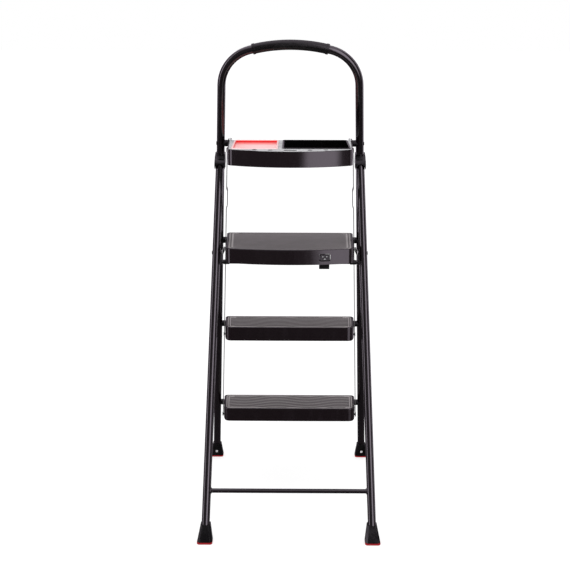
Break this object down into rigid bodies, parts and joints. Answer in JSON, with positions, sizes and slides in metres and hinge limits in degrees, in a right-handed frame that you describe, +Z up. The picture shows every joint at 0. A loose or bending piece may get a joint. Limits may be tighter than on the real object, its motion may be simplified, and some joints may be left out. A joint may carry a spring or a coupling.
{
  "type": "folding step stool",
  "caption": "Folding step stool with wide treads, a deep platform, a tool tray with lift-out bins and a tall handrail loop on an A-shaped tube frame.",
  "frame": {"origin": "floor level, midway between the four feet, on the plane of symmetry", "axes": "+Z up, +X across the stool, +Y towards the climbing side; the support frame stands on -Y"},
  "size_m": [0.5086, 0.5896, 1.3173],
  "materials": {
    "tube": "gloss black powder coat",
    "tread_paint": "gloss black paint on pressed sheet",
    "grip_rubber": "soft black rubber",
    "black_moulding": "fine moulded texture",
    "sole_rubber": "red rubber",
    "step_mat": "wavy ribbed rubber",
    "platform_mat": "fine lined rubber",
    "tray_insert": "light grey moulding",
    "red_bin": "clear red moulding",
    "black_bin": "gloss black moulding",
    "zinc": "zinc plate",
    "black_rivet": "black oxide"
  },
  "bodies": {
    "main_frame": {"main_frame_tube": "tube", "handle_grip": "grip_rubber", "hinge_collar_left": "black_moulding", "hinge_collar_right": "black_moulding", "hinge_pins": "black_rivet", "main_foot_left": "black_moulding", "main_foot_right": "black_moulding", "main_foot_rivets": "zinc", "main_foot_soles": "sole_rubber", "step_1_pivot_pins": "black_rivet", "step_2_pivot_pins": "black_rivet", "platform_pivot_pins": "black_rivet", "tray_pivot_pins": "black_rivet", "step_1_bushes": "black_moulding", "step_2_bushes": "black_moulding", "platform_bushes": "black_moulding", "tray_bushes": "black_moulding"},
    "support_frame": {"support_leg_left": "tube", "support_leg_right": "tube", "support_lower_bar": "tube", "platform_support_bar": "tube", "support_bar_sleeves": "grip_rubber", "support_bar_rivets": "black_rivet", "support_foot_left": "black_moulding", "support_foot_right": "black_moulding", "support_foot_soles": "sole_rubber"},
    "step_1": {"step_1_tread": "tread_paint", "step_1_mat": "step_mat", "step_1_strap_rivets": "black_rivet"},
    "step_2": {"step_2_tread": "tread_paint", "step_2_mat": "step_mat", "step_2_strap_rivets": "black_rivet"},
    "platform": {"platform_deck": "tread_paint", "platform_mat": "platform_mat", "platform_strap_rivets": "black_rivet", "latch_bracket": "zinc", "latch_pin": "zinc", "latch_spring": "zinc"},
    "tray": {"tray_pan": "tread_paint", "tray_insert": "tray_insert", "tray_strap_rivets": "black_rivet"},
    "red_bin": {"red_bin": "red_bin"},
    "black_bin": {"black_bin": "black_bin"},
    "latch_lever": {"latch_lever": "black_moulding"},
    "link_straps": {"link_strap_left": "zinc", "link_strap_right": "zinc"},
    "spreader_links": {"spreader_link_left": "zinc", "spreader_link_right": "zinc"}
  },
  "joints": [
    {"name": "platform_fold", "type": "hinge", "parent": "main_frame", "child": "platform", "pos_m": [0, 0.07601, 0.7585], "axis": [-1, 0, 0], "range_deg": [0, 68.5]},
    {"name": "step_1_fold", "type": "hinge", "parent": "main_frame", "child": "step_1", "pos_m": [0, 0.22397, 0.2063], "axis": [-1, 0, 0], "range_deg": [0, 68.5]},
    {"name": "step_2_fold", "type": "hinge", "parent": "main_frame", "child": "step_2", "pos_m": [0, 0.14865, 0.4874], "axis": [-1, 0, 0], "range_deg": [0, 68.5]},
    {"name": "tray_fold", "type": "hinge", "parent": "main_frame", "child": "tray", "pos_m": [0, -0.00027, 1.0432], "axis": [-1, 0, 0], "range_deg": [0, 68.5]},
    {"name": "link_strap_swing", "type": "hinge", "parent": "platform", "child": "link_straps", "pos_m": [0, -0.00019, 0.7495], "axis": [1, 0, 0], "range_deg": [0, 68.5]},
    {"name": "support_fold", "type": "hinge", "parent": "main_frame", "child": "support_frame", "pos_m": [0, -0.01175, 0.985], "axis": [1, 0, 0], "range_deg": [0, 26.42]},
    {"name": "spreader_swing", "type": "hinge", "parent": "support_frame", "child": "spreader_links", "pos_m": [0, -0.07394, 0.756], "axis": [1, 0, 0], "range_deg": [0, 64.55]},
    {"name": "latch_press", "type": "hinge", "parent": "platform", "child": "latch_lever", "pos_m": [0, -0.12425, 0.747], "axis": [-1, 0, 0], "range_deg": [0, 6]},
    {"name": "red_bin_lift", "type": "slide", "parent": "tray", "child": "red_bin", "axis": [0, 0, 1], "range_m": [0, 0.045]},
    {"name": "black_bin_lift", "type": "slide", "parent": "tray", "child": "black_bin", "axis": [0, 0, 1], "range_m": [0, 0.045]}
  ],
  "couplings": [
    {"joint": "step_1_fold", "follows": "platform_fold", "ratio": 1},
    {"joint": "step_2_fold", "follows": "platform_fold", "ratio": 1},
    {"joint": "tray_fold", "follows": "platform_fold", "ratio": 1},
    {"joint": "link_strap_swing", "follows": "platform_fold", "ratio": 1},
    {"joint": "support_fold", "follows": "platform_fold", "ratio": 0.38574},
    {"joint": "spreader_swing", "follows": "platform_fold", "ratio": 0.94231}
  ]
}
